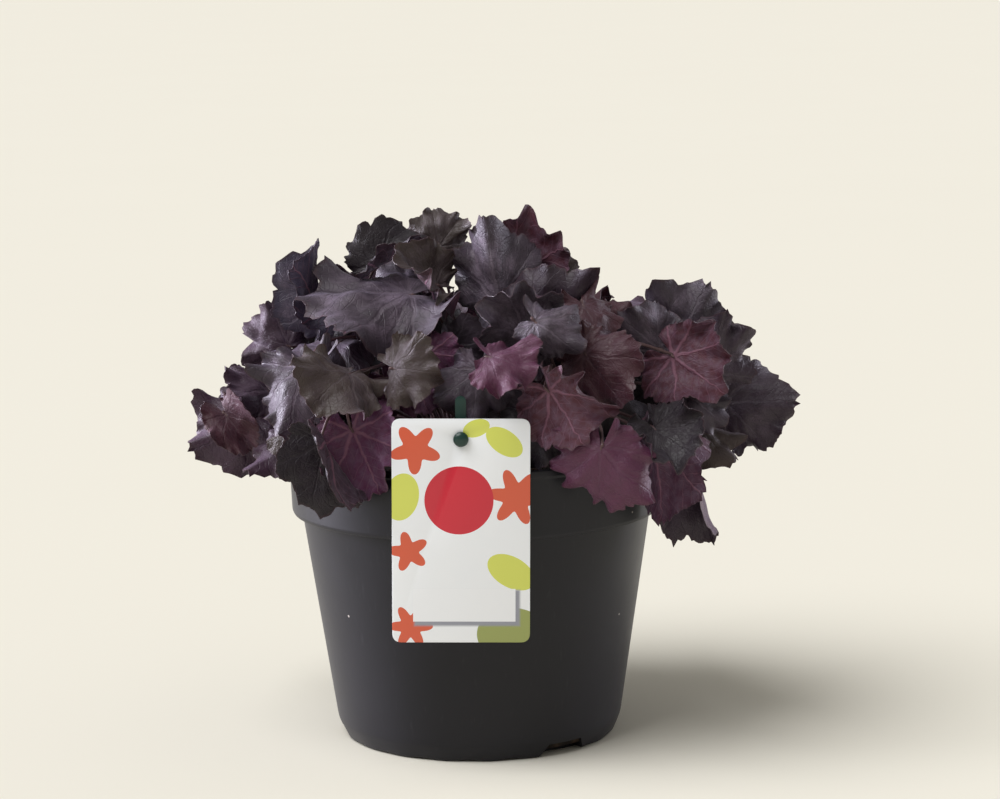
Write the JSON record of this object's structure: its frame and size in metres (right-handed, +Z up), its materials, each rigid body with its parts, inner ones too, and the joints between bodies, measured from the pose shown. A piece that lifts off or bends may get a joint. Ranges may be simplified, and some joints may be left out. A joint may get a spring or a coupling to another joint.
{
  "type": "potted heuchera plant",
  "caption": "Low mound of dark purple ruffled lobed leaves in a round black nursery pot, with a hanging card label on a green peg.",
  "frame": {"origin": "centre of the pot's flat underside, on the pot's axis", "axes": "+Z up along the pot's axis, -Y the front where the label hangs, +X to the right as seen from the front"},
  "size_m": [0.3683, 0.2993, 0.3226],
  "materials": {
    "pot_plastic": "satin black moulded polypropylene, slightly dusty and scuffed",
    "compost": "damp dark peat compost with crumbs",
    "crown": "low woody crown with the youngest leaves grown on it, matt",
    "leaf": "dark purple leaf with a pewter bloom between the veins, satin",
    "label_card": "printed white synthetic card, semi-gloss",
    "peg_plastic": "dark green moulded plastic"
  },
  "bodies": {
    "root": {"pot": "pot_plastic", "soil": "compost", "crown": "crown", "label": "label_card", "label_peg": "peg_plastic", "leaf_01": "leaf", "leaf_02": "leaf", "leaf_03": "leaf", "leaf_04": "leaf", "leaf_05": "leaf", "leaf_06": "leaf", "leaf_07": "leaf", "leaf_08": "leaf", "leaf_09": "leaf", "leaf_10": "leaf", "leaf_11": "leaf", "leaf_12": "leaf", "leaf_13": "leaf", "leaf_14": "leaf", "leaf_15": "leaf", "leaf_16": "leaf", "leaf_17": "leaf", "leaf_18": "leaf", "leaf_19": "leaf", "leaf_20": "leaf", "leaf_21": "leaf", "leaf_22": "leaf", "leaf_23": "leaf", "leaf_24": "leaf", "leaf_25": "leaf", "leaf_26": "leaf", "leaf_27": "leaf", "leaf_28": "leaf", "leaf_29": "leaf", "leaf_30": "leaf", "leaf_31": "leaf", "leaf_32": "leaf", "leaf_33": "leaf", "leaf_34": "leaf", "leaf_35": "leaf", "leaf_36": "leaf", "leaf_37": "leaf", "leaf_38": "leaf", "leaf_39": "leaf", "leaf_40": "leaf", "leaf_41": "leaf", "leaf_42": "leaf", "leaf_43": "leaf", "leaf_44": "leaf", "leaf_45": "leaf", "leaf_46": "leaf", "leaf_47": "leaf", "leaf_48": "leaf", "leaf_49": "leaf", "leaf_50": "leaf", "leaf_51": "leaf"}
  },
  "joints": []
}
